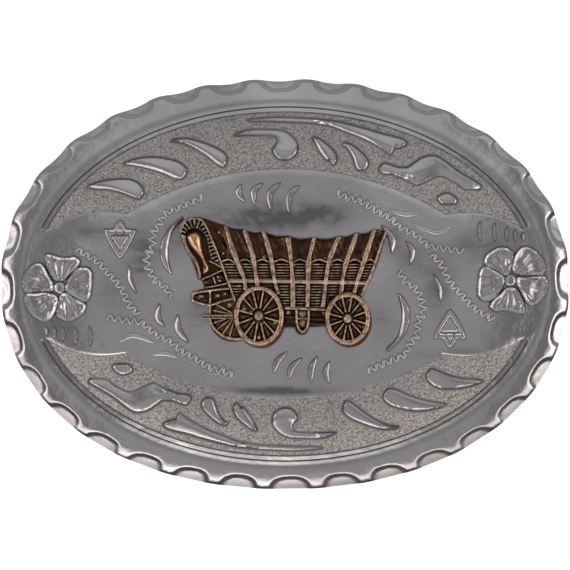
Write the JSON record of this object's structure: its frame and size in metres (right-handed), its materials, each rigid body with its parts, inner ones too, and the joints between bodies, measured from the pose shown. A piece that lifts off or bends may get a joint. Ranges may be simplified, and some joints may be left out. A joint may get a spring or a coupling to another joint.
{
  "type": "belt buckle with covered wagon ornament",
  "caption": "Oval Western belt buckle: a stamped silver face plate with a scooped edge and a cast covered wagon ornament, with a swinging belt bail and a hook on its back.",
  "frame": {"origin": "on the table, under the middle of the plate, with the buckle lying face up on its bail bracket and hook", "axes": "+X along the plate to the right of the artwork (the bail's side), +Y to the top of the artwork, +Z out of the face"},
  "size_m": [0.0918, 0.0662, 0.0127],
  "materials": {
    "plate_silver": "struck nickel silver, polished high spots with dark antiquing",
    "wagon_brass": "cast brass, worn bright",
    "wagon_patina": "cast brass under a dark brown patina",
    "washer_brass": "plain",
    "hardware_steel": "nickel plated, dulled"
  },
  "bodies": {
    "buckle": {"face_plate": "plate_silver", "wagon_backing": "wagon_patina", "wagon_cover": "wagon_patina", "cover_mouth": "wagon_brass", "wagon_box": "wagon_patina", "bow_staves": "wagon_brass", "front_wheel": "wagon_brass", "rear_wheel": "wagon_brass", "off_wheel": "wagon_patina", "wagon_tongue": "wagon_brass", "jockey_box": "wagon_brass", "driver_seat": "wagon_brass", "tar_bucket": "wagon_brass", "running_gear": "wagon_patina", "post_washer_front": "washer_brass", "post_washer_rear": "washer_brass", "bail_bracket": "hardware_steel", "belt_hook": "hardware_steel"},
    "bail": {"bail_loop": "hardware_steel"}
  },
  "joints": [
    {"name": "bail_swing", "type": "hinge", "parent": "buckle", "child": "bail", "pos_m": [0.019, 0, 0.00258], "axis": [0, 1, 0], "range_deg": [-13.5, 192.5]}
  ]
}
